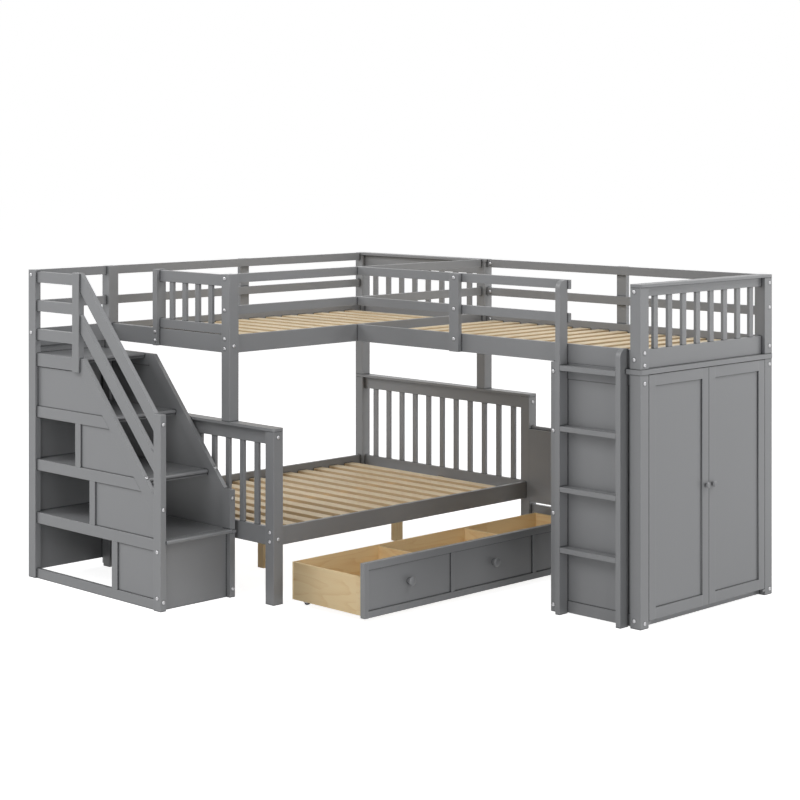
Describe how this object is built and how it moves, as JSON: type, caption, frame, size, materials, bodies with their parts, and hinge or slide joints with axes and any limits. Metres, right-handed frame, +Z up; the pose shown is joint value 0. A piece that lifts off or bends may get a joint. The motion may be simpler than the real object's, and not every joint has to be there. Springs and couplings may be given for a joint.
{
  "type": "bunk bed",
  "caption": "L-shaped bunk bed with storage stairs, a bunk over a wider lower bed, a loft arm over a wardrobe with swinging doors, a ladder and a rolling drawer.",
  "frame": {"origin": "bottom centre of the bounding box of the whole bed with the drawer pulled out, on the floor", "axes": "+X from the staircase end along the loft arm to the wardrobe doors, +Y from the open side of the stairs along the bunk arm to the headboard, +Z up"},
  "size_m": [3.086, 2.5074, 1.65],
  "materials": {
    "painted_wood": "satin grey paint over solid wood and board",
    "pine": "clear natural pine",
    "steel": "zinc-plated",
    "wheel": "matt"
  },
  "bodies": {
    "frame": {"bolt_heads": "steel", "bunk_bed_rails": "painted_wood", "bunk_end_rails": "painted_wood", "bunk_entry_stile": "painted_wood", "bunk_guard_rails": "painted_wood", "bunk_posts": "painted_wood", "bunk_slats": "pine", "bunk_spindles": "painted_wood", "centre_support": "pine", "guard_stiles": "painted_wood", "ladder_rungs": "painted_wood", "ladder_stiles": "painted_wood", "link_panel": "painted_wood", "loft_bed_rails": "painted_wood", "loft_end_rails": "painted_wood", "loft_guard_rails": "painted_wood", "loft_posts": "painted_wood", "loft_slats": "pine", "loft_spindles": "painted_wood", "lower_bed_caps": "painted_wood", "lower_bed_end_rails": "painted_wood", "lower_bed_posts": "painted_wood", "lower_bed_side_rails": "painted_wood", "lower_bed_slats": "pine", "lower_bed_spindles": "painted_wood", "pivot_brackets": "steel", "slat_ledgers": "pine", "stair_back_panels": "painted_wood", "stair_back_rails": "painted_wood", "stair_handrails": "painted_wood", "stair_landing": "painted_wood", "stair_landing_rails": "painted_wood", "stair_posts": "painted_wood", "stair_risers": "painted_wood", "stair_side_frame": "painted_wood", "stair_side_panels": "painted_wood", "stair_stringers": "painted_wood", "stair_tread_high": "painted_wood", "stair_tread_low": "painted_wood", "stair_tread_mid": "painted_wood", "upper_caps": "painted_wood", "wardrobe_back": "painted_wood", "wardrobe_base": "painted_wood", "wardrobe_posts": "painted_wood", "wardrobe_rod": "steel", "wardrobe_sides": "painted_wood", "wardrobe_top": "painted_wood"},
    "drawer": {"drawer_front": "painted_wood", "drawer_knobs": "painted_wood", "drawer_box": "pine", "drawer_bottom": "pine", "drawer_dividers": "pine", "drawer_casters": "steel"},
    "wheels_front": {"drawer_wheels_front": "wheel"},
    "wheels_rear": {"drawer_wheels_rear": "wheel"},
    "door_near_leaf": {"door_near": "painted_wood"},
    "door_far_leaf": {"door_far": "painted_wood"}
  },
  "joints": [
    {"name": "drawer_slide", "type": "slide", "parent": "frame", "child": "drawer", "axis": [1, 0, 0], "range_m": [-0.589, 0.4]},
    {"name": "wheel_roll_front", "type": "hinge", "parent": "drawer", "child": "wheels_front", "pos_m": [0.428, 0.23775, 0.018], "axis": [0, 1, 0], "continuous": true},
    {"name": "wheel_roll_rear", "type": "hinge", "parent": "drawer", "child": "wheels_rear", "pos_m": [0.008, 0.23775, 0.018], "axis": [0, 1, 0], "continuous": true},
    {"name": "door_near_hinge", "type": "hinge", "parent": "frame", "child": "door_near_leaf", "pos_m": [1.515, 0.21875, 0.6], "axis": [0, 0, 1], "range_deg": [-95, 0]},
    {"name": "door_far_hinge", "type": "hinge", "parent": "frame", "child": "door_far_leaf", "pos_m": [1.515, 1.17175, 0.6], "axis": [0, 0, 1], "range_deg": [0, 95]}
  ],
  "couplings": [
    {"joint": "wheel_roll_front", "follows": "drawer_slide", "rad_per_m": 55.556},
    {"joint": "wheel_roll_rear", "follows": "drawer_slide", "rad_per_m": 55.556}
  ]
}
